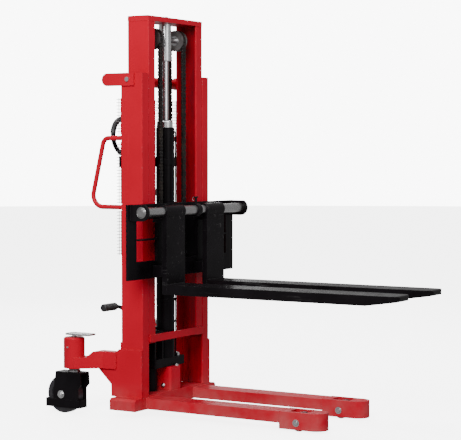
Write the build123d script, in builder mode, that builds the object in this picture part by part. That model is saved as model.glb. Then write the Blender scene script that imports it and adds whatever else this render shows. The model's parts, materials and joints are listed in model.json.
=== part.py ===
from build123d import *
import os
from math import cos, radians, sin

# A hand-pumped straddle stacker with a two-stage mast, drawn with the mast part raised.
# Millimetres.  The origin is on the floor under the middle of the machine.
# +Z is up, +Y points to the operator, -Y to the fork tips, and +X is the machine's left.
# The names left and right are the operator's, who faces the forks.

os.makedirs("parts", exist_ok=True)

LEFT = 1
RIGHT = -1
SIDES = {"left": LEFT, "right": RIGHT}

# ---------------------------------------------------------------- driving dimensions
# Mast
mast_front = 395.5        # y of the mast channels' front face
channel_depth = 120.0
channel_flange = 53.0
web_thick = 5.5
flange_thick = 9.0
outer_web_x = 285.5       # outer face of the outer mast's webs
inner_web_x = 230.5       # outer face of the inner mast's webs
inner_shrink = 1.0        # the inner channels stand this far inside the outer ones
outer_bottom = 88.0
outer_top = 1600.0
inner_bottom = 340.0
inner_top = 1846.0
top_beam_high = 24.0
mast_mid = mast_front + channel_depth / 2
mast_rear = mast_front + channel_depth

# Mast and carriage rollers, all on cross axes in the middle of the channels
mast_roller_r = 50.5
mast_roller_z = {"upper": 690.0, "lower": 400.0}
mast_roller_x = (240.0, 276.0)
carriage_roller_r = 49.5
carriage_roller_z = {"upper": 940.0, "lower": 700.0}
carriage_roller_x = (184.0, 220.0)
roller_pin_r = 15.0
running_gap = 0.05        # radial clearance of every turning or sliding fit

# Lift cylinder and chains
cylinder_y = mast_front + 64.0
cylinder_r = 44.5
cylinder_bore_r = 33.0
cylinder_bottom = 250.0
cylinder_top = 1352.0
gland_high = 31.0
gland_r = 38.0
rod_r = 17.0
piston_bottom = 580.0
piston_high = 40.0
crosshead_r = 30.0
crosshead_bottom = 1667.0
chain_x = 100.0
chain_wide = 26.0
chain_half_thick = 8.0
chain_wheel_z = 1770.0
chain_pitch_r = 40.0
chain_axle_r = 12.5
chain_anchor_top = 745.0  # front anchor, on the carriage
rear_anchor_top = 1200.0  # rear anchor, on the mast's cross member
chain_lug_half = 16.0
cross_member = (1165.0, 1211.0)

# Base, legs and load rollers
base_top = 95.0
base_bottom = 33.0
base_rear = mast_front + 130.0
foot_x = (232.0, 350.0)
foot_rear = mast_front + 144.0
leg_x = 202.0
leg_wide = 110.0
leg_bottom = 35.0
leg_top = 86.0
leg_tip = mast_front - 925.0
end_block_y = mast_front - 712.0
end_block_bottom = 10.0
end_block_top = 88.0
leg_wall = 6.0
load_roller_y = mast_front - 798.0
load_roller_r = 41.0
load_roller_wide = 68.0
load_slot = (mast_front - 846.0, mast_front - 750.0)
load_slot_wide = 74.0
load_axle_r = 10.0

# Steering casters
kingpin_x = 350.0
kingpin_y = mast_front + 348.0
kingpin_r = 20.0
housing_r = 50.0
arm_bottom = 217.0
arm_top = 297.0
housing_top = 363.0
caster_y = mast_front + 400.0
wheel_r = 90.0
wheel_wide = 50.0
caster_axle_r = 10.0
fork_plate_top = 198.0

# Carriage and forks
frame_front = mast_front - 38.0
frame_thick = 12.0
frame_half = 455.0
frame_bottom = 650.0
frame_top = 995.0
shaft_y = mast_front - 98.0
shaft_z = 960.0
shaft_r = 22.5
fork_x = {"left": 158.0, "right": -189.0}
fork_wide = 154.0
fork_top = 622.0
fork_tip = mast_front - 1287.0
fork_skirt = 45.0
side_plate_x = (160.0, 172.0)

# Pump and its levers
pump_x = -100.0
pump_y = mast_front + 85.0
plunger_r = 14.0
plunger_cap_top = 352.0
pump_block_z = (208.0, 250.0)
rocker_y = mast_front + 48.0
rocker_z = 372.0
rocker_end_y = mast_front + 150.0


def block(x_range, y_range, z_range, mode=Mode.ADD):
    """A rectangular block between the given limits, in the part being built."""
    centre = [(low + high) / 2 for low, high in (x_range, y_range, z_range)]
    with Locations(tuple(centre)):
        Box(*[abs(high - low) for low, high in (x_range, y_range, z_range)], mode=mode)


def span(side, near, far):
    """The x limits, low to high, of what lies between near and far on one side."""
    return tuple(sorted((side * near, side * far)))


def rod_x(x_range, y, z, radius, mode=Mode.ADD):
    """A round bar along X, or a bore with Mode.SUBTRACT, in the part being built."""
    low, high = x_range
    with Locations(((low + high) / 2, y, z)):
        Cylinder(radius, high - low, rotation=(0, 90, 0), mode=mode)


def rod_z(x, y, z_range, radius, mode=Mode.ADD):
    """A round bar standing along Z, or a bore with Mode.SUBTRACT."""
    low, high = z_range
    with Locations((x, y, (low + high) / 2)):
        Cylinder(radius, high - low, mode=mode)


def plate_x(x_range, outline, mode=Mode.ADD):
    """A flat plate facing X; its outline's corners are (y, z)."""
    with BuildSketch(Plane.YZ.offset(x_range[0])) as profile:
        with BuildLine():
            Polyline(*outline, close=True)
        make_face()
    extrude(profile.sketch, amount=x_range[1] - x_range[0], mode=mode)


def save(piece, name):
    """Label a finished piece and write it to its own file."""
    piece.label = name
    export_step(piece, f"parts/{name}.step")


# ---------------------------------------------------------------- mast channels
def channel(side, web_x, y_range, z_range):
    """An upright rolled channel whose open side faces the middle of the machine."""
    front, rear = y_range
    with BuildPart() as beam:
        block(span(side, web_x - channel_flange, web_x), y_range, z_range)
        block(
            span(side, web_x - channel_flange - 1, web_x - web_thick),
            (front + flange_thick, rear - flange_thick),
            z_range,
            mode=Mode.SUBTRACT,
        )
        uprights = beam.edges().filter_by(Axis.Z).sort_by(Axis.X, reverse=side == RIGHT)
        fillet(uprights[:4] + uprights[-2:], radius=2.5)
    return beam.part


for name, side in SIDES.items():
    outer = channel(side, outer_web_x, (mast_front, mast_rear), (outer_bottom, outer_top))
    save(outer, f"outer_mast_{name}")
    inner_depth = (mast_front + inner_shrink, mast_rear - inner_shrink)
    inner = channel(side, inner_web_x, inner_depth, (inner_bottom, inner_top))
    save(inner, f"inner_mast_{name}")

with BuildPart() as inner_top_beam:
    block(
        (-inner_web_x, inner_web_x),
        (mast_front + inner_shrink, mast_rear - inner_shrink),
        (inner_top, inner_top + top_beam_high),
    )
    fillet(inner_top_beam.edges().filter_by(Axis.X).group_by(Axis.Z)[-1], radius=4)
    rod_z(0, cylinder_y, (inner_top, inner_top + top_beam_high), 8.05, mode=Mode.SUBTRACT)
save(inner_top_beam.part, "inner_top_beam")

with BuildPart() as inner_bottom_bar:
    bar_rear = mast_front + inner_shrink
    block((-229.5, 229.5), (bar_rear - 8, bar_rear), (345, 379))
    fillet(inner_bottom_bar.edges().filter_by(Axis.Y), radius=5)
save(inner_bottom_bar.part, "inner_bottom_bar")


# ---------------------------------------------------------------- outer mast fittings
ear_x = (outer_web_x, outer_web_x + 8)
ear_y = mast_front + 194
ear_z = 1572.0
ear_r = 30.0

with BuildPart() as mast_top_tie:
    rod_x((-outer_web_x, outer_web_x), ear_y, ear_z, 25)
    rod_x((-outer_web_x, outer_web_x), ear_y, ear_z, 21, mode=Mode.SUBTRACT)
    for side in (LEFT, RIGHT):
        x_range = span(side, *ear_x)
        block(x_range, (mast_front + 43, ear_y), (ear_z - ear_r, ear_z + ear_r))
        rod_x(x_range, ear_y, ear_z, ear_r)
        rod_x(x_range, mast_front + 78, ear_z, 6.05, mode=Mode.SUBTRACT)
save(mast_top_tie.part, "mast_top_tie")

with BuildPart() as ear_bolts:
    for side in (LEFT, RIGHT):
        rod_x(span(side, *ear_x), mast_front + 78, ear_z, 6)
        rod_x(span(side, ear_x[1], ear_x[1] + 7), mast_front + 78, ear_z, 11)
save(ear_bolts.part, "ear_bolts")

# The cross member behind the mast holds the cylinder and the rear ends of the chains.
with BuildPart() as mast_cross_member:
    block((-outer_web_x, outer_web_x), (mast_rear, mast_rear + 10), cross_member)
    block((-54, 54), (cylinder_y + 8, mast_rear), cross_member)
    for side in (LEFT, RIGHT):
        lug_y = (cylinder_y + chain_pitch_r - chain_half_thick, mast_rear)
        lug_x = span(side, chain_x - chain_lug_half, chain_x + chain_lug_half)
        block(lug_x, lug_y, (cross_member[0], rear_anchor_top))
    rod_z(0, cylinder_y, cross_member, cylinder_r, mode=Mode.SUBTRACT)
save(mast_cross_member.part, "mast_cross_member")

handle_r = 11.0
handle_x = 270.0
handle_top = 1300.0
handle_low = 977.0

for name, side in SIDES.items():
    with BuildPart() as push_handle:
        with BuildLine(Plane.YZ.offset(side * handle_x)):
            FilletPolyline(
                (mast_rear, handle_top),
                (mast_front + 228, handle_top),
                (mast_front + 306, handle_low),
                (mast_rear, handle_low),
                radius=[34, 55],
            )
        with BuildSketch(Plane(origin=(side * handle_x, mast_rear, handle_top), z_dir=(0, 1, 0))):
            Circle(handle_r)
        sweep()
    save(push_handle.part, f"push_handle_{name}")

# Guard of crossed wires between the operator and the chains.
guard_y = (mast_rear + 10, mast_rear + 15)
guard_half = 300.0
guard_z = (753.0, 1486.0)
guard_pitch = 30.0

with BuildPart() as mesh_guard:
    with BuildSketch(Plane.XZ.offset(-guard_y[1])):
        with Locations((0, sum(guard_z) / 2)):
            Rectangle(2 * guard_half, guard_z[1] - guard_z[0])
            with GridLocations(guard_pitch, guard_pitch, 19, 23):
                Rectangle(guard_pitch - 4, guard_pitch - 4, mode=Mode.SUBTRACT)
        for root_z in (handle_top, handle_low):
            with Locations((-280, root_z), (280, root_z)):
                Rectangle(50, 34, mode=Mode.SUBTRACT)
    extrude(amount=guard_y[1] - guard_y[0])
save(mesh_guard.part, "mesh_guard")


# ---------------------------------------------------------------- base and legs
with BuildPart() as base_crossbeam:
    block((-foot_x[0], foot_x[0]), (mast_front, base_rear), (base_bottom, base_top))
    for side in (LEFT, RIGHT):
        block(span(side, *foot_x), (mast_front, foot_rear), (base_bottom, outer_bottom))
    ends = base_crossbeam.edges().filter_by(Axis.Y).group_by(Axis.Z)[-2]
    chamfer(ends.sort_by(Axis.X)[0:1] + ends.sort_by(Axis.X)[-1:], length=10)
save(base_crossbeam.part, "base_crossbeam")

side_plate_top = 312.0
gusset_rear = mast_front + 250

with BuildPart() as side_reinforcements:
    for side in (LEFT, RIGHT):
        outline = [
            (mast_front, outer_bottom),
            (mast_front + 172, outer_bottom),
            (mast_front + 174, 145),
            (gusset_rear, arm_bottom),
            (mast_front + 145, arm_bottom),
            (mast_front + 145, side_plate_top - 14),
            (mast_front + 128, side_plate_top),
            (mast_front, side_plate_top),
        ]
        plate_x(span(side, outer_web_x, outer_web_x + 10), outline)
save(side_reinforcements.part, "side_reinforcements")

# Rear plate between the posts, notched where the pump's foot lever passes.
with BuildPart() as rear_base_plate:
    block((-outer_web_x, outer_web_x), (mast_rear, mast_rear + 6), (base_top, 345))
    block((-135, -65), (mast_rear, mast_rear + 6), (225, 345), mode=Mode.SUBTRACT)
save(rear_base_plate.part, "rear_base_plate")

for name, side in SIDES.items():
    centre_x = side * leg_x
    leg_span = span(side, leg_x - leg_wide / 2, leg_x + leg_wide / 2)
    inner_span = (leg_span[0] + leg_wall, leg_span[1] - leg_wall)
    tip_centre = leg_tip + leg_wide / 2
    with BuildPart() as leg:
        block(leg_span, (end_block_y, mast_front), (leg_bottom, leg_top))
        block(leg_span, (tip_centre, end_block_y), (end_block_bottom, end_block_top))
        rod_z(centre_x, tip_centre, (end_block_bottom, end_block_top), leg_wide / 2)
        block(inner_span, (end_block_y, mast_front), (leg_bottom + leg_wall, leg_top - leg_wall),
              mode=Mode.SUBTRACT)
        slot_span = (centre_x - load_slot_wide / 2, centre_x + load_slot_wide / 2)
        block(slot_span, load_slot, (end_block_bottom, end_block_top), mode=Mode.SUBTRACT)
        rod_x(leg_span, load_roller_y, load_roller_r, load_axle_r, mode=Mode.SUBTRACT)
    save(leg.part, f"leg_{name}")

    with BuildPart() as load_roller:
        roller_span = (centre_x - load_roller_wide / 2, centre_x + load_roller_wide / 2)
        rod_x(roller_span, load_roller_y, load_roller_r, load_roller_r)
        fillet(load_roller.edges().filter_by(GeomType.CIRCLE), radius=4)
        rod_x(roller_span, load_roller_y, load_roller_r, load_axle_r + running_gap,
              mode=Mode.SUBTRACT)
    save(load_roller.part, f"load_roller_{name}")

with BuildPart() as load_roller_axles:
    for side in (LEFT, RIGHT):
        rod_x(
            span(side, leg_x - leg_wide / 2 - 3, leg_x + leg_wide / 2 + 3),
            load_roller_y,
            load_roller_r,
            load_axle_r,
        )
save(load_roller_axles.part, "load_roller_axles")


# ---------------------------------------------------------------- rear arms and casters
for name, side in SIDES.items():
    centre_x = side * kingpin_x
    arm_plan = [
        (side * 250, mast_rear + 6),
        (side * outer_web_x, mast_rear + 6),
        (side * outer_web_x, mast_front + 145),
        (side * 303, mast_front + 145),
        (side * 306, mast_front + 215),
        (side * 396, mast_front + 318),
        (side * 328, mast_front + 366),
        (side * 254, mast_front + 240),
    ]
    with BuildPart() as rear_arm:
        with BuildSketch(Plane.XY.offset(arm_bottom)):
            with BuildLine():
                Polyline(*arm_plan, close=True)
            make_face()
        extrude(amount=arm_top - arm_bottom)
        slope = [
            (mast_front + 250, arm_top),
            (mast_front + 450, arm_top),
            (mast_front + 450, arm_top - 27),
            (mast_front + 276, arm_top - 27),
        ]
        plate_x(span(side, 240, 420), slope, mode=Mode.SUBTRACT)
        rod_z(centre_x, kingpin_y, (arm_bottom, housing_top), housing_r)
        rims = rear_arm.edges().filter_by(GeomType.CIRCLE).group_by(Axis.Z)
        fillet(rims[-1], radius=9)
        bore_top = housing_top - 23
        rod_z(centre_x, kingpin_y, (arm_bottom, bore_top), kingpin_r + running_gap,
              mode=Mode.SUBTRACT)
        rod_z(centre_x, kingpin_y, (bore_top, housing_top), 11 + running_gap,
              mode=Mode.SUBTRACT)
    save(rear_arm.part, f"rear_arm_{name}")

    # Foot pedal that pushes the brake pin down through the middle of the kingpin housing.
    with BuildPart() as brake_pedal:
        rod_z(centre_x, kingpin_y, (bore_top - 4, housing_top + 11), 11)
        with BuildSketch(Plane.XY.offset(housing_top + 11)):
            with Locations((centre_x, mast_front + 311)):
                RectangleRounded(70, 140, 16)
        extrude(amount=8)
    save(brake_pedal.part, f"brake_pedal_{name}")

    half_gap = wheel_wide / 2 + 3
    with BuildPart() as caster_fork:
        rod_z(centre_x, kingpin_y, (fork_plate_top, bore_top - 15), kingpin_r)
        plate_span = (centre_x - half_gap - 8, centre_x + half_gap + 8)
        block(plate_span, (mast_front + 288, mast_front + 433),
              (fork_plate_top - 8, fork_plate_top))
        side_outline = [
            (mast_front + 288, fork_plate_top - 8),
            (mast_front + 284, 142),
            (mast_front + 303, 120),
            (mast_front + 303, 67),
            (mast_front + 330, 40),
            (mast_front + 440, 40),
            (mast_front + 448, 90),
            (mast_front + 433, fork_plate_top - 8),
        ]
        plate_x((centre_x - half_gap - 8, centre_x - half_gap), side_outline)
        plate_x((centre_x + half_gap, centre_x + half_gap + 8), side_outline)
        with BuildSketch(Plane.XY.offset(29)):
            with Locations((centre_x, mast_front + 396)):
                RectangleRounded(2 * half_gap + 24, 200, 18)
                RectangleRounded(2 * half_gap + 16, 192, 14, mode=Mode.SUBTRACT)
        extrude(amount=38)
        rod_x((centre_x - half_gap - 16, centre_x + half_gap + 16), caster_y, wheel_r,
              caster_axle_r)
    save(caster_fork.part, f"caster_fork_{name}")

    with BuildPart() as caster_wheel:
        wheel_span = (centre_x - wheel_wide / 2, centre_x + wheel_wide / 2)
        rod_x(wheel_span, caster_y, wheel_r, wheel_r)
        fillet(caster_wheel.edges().filter_by(GeomType.CIRCLE), radius=9)
        for face_x in (wheel_span[0] + 4, wheel_span[1] - 4):
            far_x = centre_x + (face_x - centre_x) * 1.4
            ring = tuple(sorted((face_x, far_x)))
            rod_x(ring, caster_y, wheel_r, 62, mode=Mode.SUBTRACT)
        rod_x(wheel_span, caster_y, wheel_r, 26)
        rod_x(wheel_span, caster_y, wheel_r, caster_axle_r + running_gap, mode=Mode.SUBTRACT)
    save(caster_wheel.part, f"caster_wheel_{name}")


# ---------------------------------------------------------------- lift cylinder and chains
with BuildPart() as lift_cylinder:
    rod_z(0, cylinder_y, (cylinder_bottom, cylinder_top), cylinder_r)
    rod_z(0, cylinder_y, (cylinder_bottom + 20, cylinder_top), cylinder_bore_r,
          mode=Mode.SUBTRACT)
save(lift_cylinder.part, "lift_cylinder")

with BuildPart() as cylinder_gland:
    gland_z = (cylinder_top, cylinder_top + gland_high)
    rod_z(0, cylinder_y, gland_z, gland_r)
    chamfer(cylinder_gland.edges().filter_by(GeomType.CIRCLE).group_by(Axis.Z)[-1], length=4)
    rod_z(0, cylinder_y, gland_z, rod_r + running_gap, mode=Mode.SUBTRACT)
save(cylinder_gland.part, "cylinder_gland")

with BuildPart() as piston_rod:
    rod_z(0, cylinder_y, (piston_bottom, crosshead_bottom), rod_r)
    rod_z(0, cylinder_y, (piston_bottom, piston_bottom + piston_high),
          cylinder_bore_r - running_gap)
save(piston_rod.part, "piston_rod")

# Tube on top of the rod; it lifts the top beam, is held there by a stud and a nut, and
# carries the chain wheels' axle.
with BuildPart() as rod_crosshead:
    rod_z(0, cylinder_y, (crosshead_bottom, inner_top), crosshead_r)
    fillet(rod_crosshead.edges().filter_by(GeomType.CIRCLE).group_by(Axis.Z)[0], radius=4)
    rod_x((-40, 40), cylinder_y, chain_wheel_z, chain_axle_r, mode=Mode.SUBTRACT)
    beam_top = inner_top + top_beam_high
    rod_z(0, cylinder_y, (inner_top, beam_top), 8)
    with BuildSketch(Plane.XY.offset(beam_top)):
        with Locations((0, cylinder_y)):
            RegularPolygon(radius=14, side_count=6)
    extrude(amount=10)
save(rod_crosshead.part, "rod_crosshead")

with BuildPart() as chain_axle:
    axle_half = chain_x + 24
    rod_x((-axle_half, axle_half), cylinder_y, chain_wheel_z, chain_axle_r)
save(chain_axle.part, "chain_axle")

chain_root_r = chain_pitch_r - chain_half_thick - 0.5
chain_wheel_x = (chain_x - 18, chain_x + 18)
for name, side in SIDES.items():
    with BuildPart() as chain_wheel:
        rod_x(span(side, *chain_wheel_x), cylinder_y, chain_wheel_z, 50)
        with BuildSketch(Plane.YZ.offset(side * chain_x - chain_wide / 2 - 0.5)):
            with Locations((cylinder_y, chain_wheel_z)):
                Circle(54)
                Circle(chain_root_r, mode=Mode.SUBTRACT)
        extrude(amount=chain_wide + 1, mode=Mode.SUBTRACT)
        rod_x(span(side, *chain_wheel_x), cylinder_y, chain_wheel_z,
              chain_axle_r + running_gap, mode=Mode.SUBTRACT)
    save(chain_wheel.part, f"chain_wheel_{name}")


def chain_run(x, y, z_range):
    """The plain outline of one straight chain run, in the part being built."""
    half_wide = chain_wide / 2
    block((x - half_wide, x + half_wide), (y - chain_half_thick, y + chain_half_thick), z_range)


with BuildPart() as front_chains:
    for side in (LEFT, RIGHT):
        chain_run(side * chain_x, cylinder_y - chain_pitch_r, (chain_anchor_top, chain_wheel_z))
        with BuildSketch(Plane.YZ.offset(side * chain_x - chain_wide / 2)):
            with Locations((cylinder_y, chain_wheel_z)):
                Circle(chain_pitch_r + chain_half_thick)
                Circle(chain_pitch_r - chain_half_thick, mode=Mode.SUBTRACT)
            with Locations((cylinder_y, chain_wheel_z - 50)):
                Rectangle(120, 100, mode=Mode.SUBTRACT)
        extrude(amount=chain_wide)
save(front_chains.part, "front_chains")

with BuildPart() as rear_chains:
    for side in (LEFT, RIGHT):
        chain_run(side * chain_x, cylinder_y + chain_pitch_r, (rear_anchor_top, chain_wheel_z))
save(rear_chains.part, "rear_chains")


# ---------------------------------------------------------------- mast rollers
with BuildPart() as mast_roller_pins:
    for side in (LEFT, RIGHT):
        for roller_z in mast_roller_z.values():
            rod_x(span(side, inner_web_x, mast_roller_x[0] - 1), mast_mid, roller_z, 22)
            rod_x(span(side, inner_web_x, mast_roller_x[1] + 1), mast_mid, roller_z,
                  roller_pin_r)
save(mast_roller_pins.part, "mast_roller_pins")


def roller_pair(x_near, x_far, z, radius):
    """Two like rollers on one cross axis, one in each channel."""
    with BuildPart() as rollers:
        for side in (LEFT, RIGHT):
            rod_x(span(side, x_near, x_far), mast_mid, z, radius)
        fillet(rollers.edges().filter_by(GeomType.CIRCLE), radius=3)
        for side in (LEFT, RIGHT):
            rod_x(span(side, x_near, x_far), mast_mid, z, roller_pin_r + running_gap,
                  mode=Mode.SUBTRACT)
    return rollers.part


for level in ("upper", "lower"):
    mast_rollers = roller_pair(*mast_roller_x, mast_roller_z[level], mast_roller_r)
    save(mast_rollers, f"mast_rollers_{level}")
    carriage_rollers = roller_pair(
        *carriage_roller_x, carriage_roller_z[level], carriage_roller_r
    )
    save(carriage_rollers, f"carriage_rollers_{level}")


# ---------------------------------------------------------------- carriage
window_x = (222.0, 388.0)
window_z = (732.0, 925.0)
frame_rear = frame_front + frame_thick

with BuildPart() as carriage_frame:
    block((-frame_half, frame_half), (frame_front, frame_rear), (frame_bottom, frame_top))
    for side in (LEFT, RIGHT):
        block(span(side, *window_x), (frame_front, frame_rear), window_z, mode=Mode.SUBTRACT)
        block(span(side, *window_x), (frame_front - 14, frame_rear), (828, 836))
    # An opening in the middle, between the fork shanks, shows the chains' ends.
    block((-130, 130), (frame_front, frame_rear), window_z, mode=Mode.SUBTRACT)
save(carriage_frame.part, "carriage_frame")

# Two plates run back into the inner mast; the beam between them holds the chains' ends.
with BuildPart() as carriage_backbone:
    outline = [
        (frame_rear, frame_bottom + 5),
        (mast_front + 90, frame_bottom + 5),
        (mast_front + 110, frame_bottom + 25),
        (mast_front + 110, frame_top - 30),
        (mast_front + 90, frame_top - 10),
        (frame_rear, frame_top - 10),
    ]
    for side in (LEFT, RIGHT):
        plate_x(span(side, *side_plate_x), outline)
        for roller_z in carriage_roller_z.values():
            rod_x(span(side, *side_plate_x), mast_mid, roller_z, roller_pin_r,
                  mode=Mode.SUBTRACT)
    block((-side_plate_x[0], side_plate_x[0]), (frame_rear, mast_front + 4), (704, 728))
    for side in (LEFT, RIGHT):
        lug_y = (mast_front + 4, cylinder_y - chain_pitch_r)
        lug_x = span(side, chain_x - chain_lug_half, chain_x + chain_lug_half)
        block(lug_x, lug_y, (704, chain_anchor_top))
save(carriage_backbone.part, "carriage_backbone")

with BuildPart() as carriage_roller_pins:
    for side in (LEFT, RIGHT):
        for roller_z in carriage_roller_z.values():
            rod_x(span(side, side_plate_x[0] - 6, side_plate_x[0]), mast_mid, roller_z, 24)
            rod_x(span(side, side_plate_x[0], carriage_roller_x[1] + 1), mast_mid, roller_z,
                  roller_pin_r)
            collar_x = span(side, side_plate_x[1], carriage_roller_x[0] - 1)
            rod_x(collar_x, mast_mid, roller_z, 22)
save(carriage_roller_pins.part, "carriage_roller_pins")

nose_r = 39.0
nose_plate_x = (425.0, 437.0)
with BuildPart() as carriage_nose_plates:
    for side in (LEFT, RIGHT):
        nose_x = span(side, *nose_plate_x)
        block(nose_x, (shaft_y, frame_front), (shaft_z - nose_r, frame_top))
        rod_x(nose_x, shaft_y, shaft_z, nose_r)
        block(nose_x, (shaft_y - nose_r, frame_front), (frame_top, frame_top + nose_r),
              mode=Mode.SUBTRACT)
        rod_x(nose_x, shaft_y, shaft_z, shaft_r, mode=Mode.SUBTRACT)
save(carriage_nose_plates.part, "carriage_nose_plates")

with BuildPart() as fork_shaft:
    shaft_end = nose_plate_x[1] + 5
    rod_x((-shaft_end, shaft_end), shaft_y, shaft_z, shaft_r)
    chamfer(fork_shaft.edges().filter_by(GeomType.CIRCLE), length=3)
save(fork_shaft.part, "fork_shaft")

# Collar with a drop pin; it keeps the forks from sliding to the other side.
collar_x = (6.0, 34.0)
with BuildPart() as fork_stop_collar:
    rod_x(collar_x, shaft_y, shaft_z, 31)
    rod_x(collar_x, shaft_y, shaft_z, shaft_r, mode=Mode.SUBTRACT)
    rod_z(20, shaft_y, (shaft_z + 28, shaft_z + 58), 6)
    rod_z(20, shaft_y, (shaft_z + 58, shaft_z + 64), 11)
save(fork_stop_collar.part, "fork_stop_collar")


# ---------------------------------------------------------------- forks
sleeve_r = 30.0
shank_front = shaft_y - 24
shank_rear = frame_front - 6
blade_wall = 8.0
taper_start = fork_tip + 147
nose_thick = 24.0

for name, centre_x in fork_x.items():
    fork_span = (centre_x - fork_wide / 2, centre_x + fork_wide / 2)
    with BuildPart() as fork:
        # The blade is its side view crossed with its plan, so the nose is round both ways.
        with BuildSketch(Plane.YZ.offset(fork_span[0])) as side_view:
            with BuildLine():
                Polyline(
                    (shank_front, fork_top),
                    (fork_tip, fork_top),
                    (fork_tip, fork_top - nose_thick),
                    (taper_start, fork_top - fork_skirt),
                    (shank_front, fork_top - fork_skirt),
                    close=True,
                )
            make_face()
            fillet(side_view.vertices().group_by(Axis.X)[0], radius=9)
        extrude(side_view.sketch, amount=fork_wide)
        with BuildSketch(Plane.XY.offset(fork_top - 2 * fork_skirt)) as plan:
            with Locations((centre_x, fork_tip + 300)):
                RectangleRounded(fork_wide, 600, 42)
            with Locations((centre_x, (fork_tip + 200 + shank_front) / 2)):
                Rectangle(fork_wide, shank_front - fork_tip - 200)
        extrude(plan.sketch, amount=3 * fork_skirt, mode=Mode.INTERSECT)
        channel_span = (fork_span[0] + blade_wall, fork_span[1] - blade_wall)
        hollow = [
            (shank_front - 12, fork_top - blade_wall),
            (taper_start + 60, fork_top - blade_wall),
            (taper_start + 60, fork_top - fork_skirt - 5),
            (shank_front - 12, fork_top - fork_skirt - 5),
        ]
        plate_x(channel_span, hollow, mode=Mode.SUBTRACT)
        rod_x(fork_span, shaft_y, shaft_z, sleeve_r)
        shank = [
            (shank_front, shaft_z),
            (shank_front, fork_top - fork_skirt),
            (shank_front + 26, fork_top - fork_skirt),
            (shank_front + 26, shaft_z),
        ]
        plate_x(fork_span, shank)
        block(fork_span, (shank_front + 26, shank_rear), (frame_bottom + 8, frame_bottom + 60))
        block(fork_span, (shank_front + 26, shank_rear), (910, 925))
        rod_x(fork_span, shaft_y, shaft_z, shaft_r + 2 * running_gap, mode=Mode.SUBTRACT)
    save(fork.part, f"fork_{name}")


# ---------------------------------------------------------------- hand pump
with BuildPart() as oil_tank:
    block((-45, 45), (mast_front + 4, mast_front + 90), (base_top, pump_block_z[0]))
    fillet(oil_tank.edges().filter_by(Axis.Z), radius=10)
save(oil_tank.part, "oil_tank")

with BuildPart() as pump_barrel:
    rod_z(pump_x, pump_y, (base_top, pump_block_z[0]), 33)
    rod_z(pump_x, pump_y, (base_top + 20, pump_block_z[0]), plunger_r + running_gap,
          mode=Mode.SUBTRACT)
save(pump_barrel.part, "pump_barrel")

with BuildPart() as pump_block:
    block((-142, 110), (mast_front + 25, mast_front + 112), pump_block_z)
    fillet(pump_block.edges().filter_by(Axis.Z), radius=8)
    for lug_x in ((-137, -127), (-73, -63)):
        block(lug_x, (rocker_y - 15, rocker_y + 15), (pump_block_z[1], rocker_z))
        rod_x(lug_x, rocker_y, rocker_z, 15)
    rod_x((-142, -60), rocker_y, rocker_z, 8, mode=Mode.SUBTRACT)
    rod_z(pump_x, pump_y, pump_block_z, plunger_r + running_gap, mode=Mode.SUBTRACT)
save(pump_block.part, "pump_block")

with BuildPart() as rocker_pin:
    rod_x((-140, -60), rocker_y, rocker_z, 8)
save(rocker_pin.part, "rocker_pin")

with BuildPart() as pump_plunger:
    rod_z(pump_x, pump_y, (160, plunger_cap_top), plunger_r)
    rod_z(pump_x, pump_y, (plunger_cap_top - 10, plunger_cap_top), 21)
save(pump_plunger.part, "pump_plunger")

with BuildPart() as pump_spring:
    spring_z = (pump_block_z[1], plunger_cap_top - 10)
    rod_z(pump_x, pump_y, spring_z, 20)
    rod_z(pump_x, pump_y, spring_z, 15.5, mode=Mode.SUBTRACT)
save(pump_spring.part, "pump_spring")

# The rocker turns on its pin and pushes the plunger down when its rear end goes down.
socket_lean = 4.3
pedal_x = 30.0
pedal_y = mast_front + 362
pedal_z = 477.0

with BuildPart() as pump_rocker:
    rod_x((-126, -74), rocker_y, rocker_z, 14)
    for cheek_x in ((-126, -118), (-82, -74)):
        cheek = [
            (rocker_y, rocker_z - 12),
            (rocker_end_y, rocker_z - 16),
            (rocker_end_y, rocker_z + 16),
            (rocker_y, rocker_z + 12),
        ]
        plate_x(cheek_x, cheek)
    rod_x((-118, -82), pump_y, plunger_cap_top + 12, 12)
    rod_x((-126, pedal_x + 11), rocker_end_y, rocker_z, 16)
    socket_plane = Plane(
        origin=(pump_x, rocker_end_y, rocker_z),
        x_dir=(1, 0, 0),
        z_dir=(0, sin(radians(socket_lean)), cos(radians(socket_lean))),
    )
    with BuildSketch(socket_plane):
        Circle(19)
    extrude(amount=120)
    with BuildSketch(socket_plane.offset(30)):
        Circle(13)
    extrude(amount=90, mode=Mode.SUBTRACT)
    rod_x((-130, -70), rocker_y, rocker_z, 8 + running_gap, mode=Mode.SUBTRACT)
    with BuildLine() as pedal_path:
        FilletPolyline(
            (pedal_x, rocker_end_y, rocker_z),
            (pedal_x, pedal_y, pedal_z),
            (pump_x + 4, pedal_y, pedal_z),
            radius=26,
        )
    start = pedal_path.line @ 0
    heading = pedal_path.line % 0
    with BuildSketch(Plane(origin=start, z_dir=heading)) as pedal_section:
        Circle(9)
    sweep(pedal_section.sketch, path=pedal_path.line)
save(pump_rocker.part, "pump_rocker")

with BuildPart() as pedal_grip:
    rod_x((pump_x, 4), pedal_y, pedal_z, 19)
    fillet(pedal_grip.edges().filter_by(GeomType.CIRCLE), radius=4)
    rod_x((pump_x + 4, 4), pedal_y, pedal_z, 9, mode=Mode.SUBTRACT)
save(pedal_grip.part, "pedal_grip")

# Tiller: a straight shaft in the rocker's socket, ending in an oval hand loop.
loop_r = 84.0             # of the loop's two round ends
loop_straight = 24.0      # half of the straight stretch between them
tube_r = 11.0
shaft_length = 855.0
lever_pin_r = 4.0
lever_at = 735.0

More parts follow.
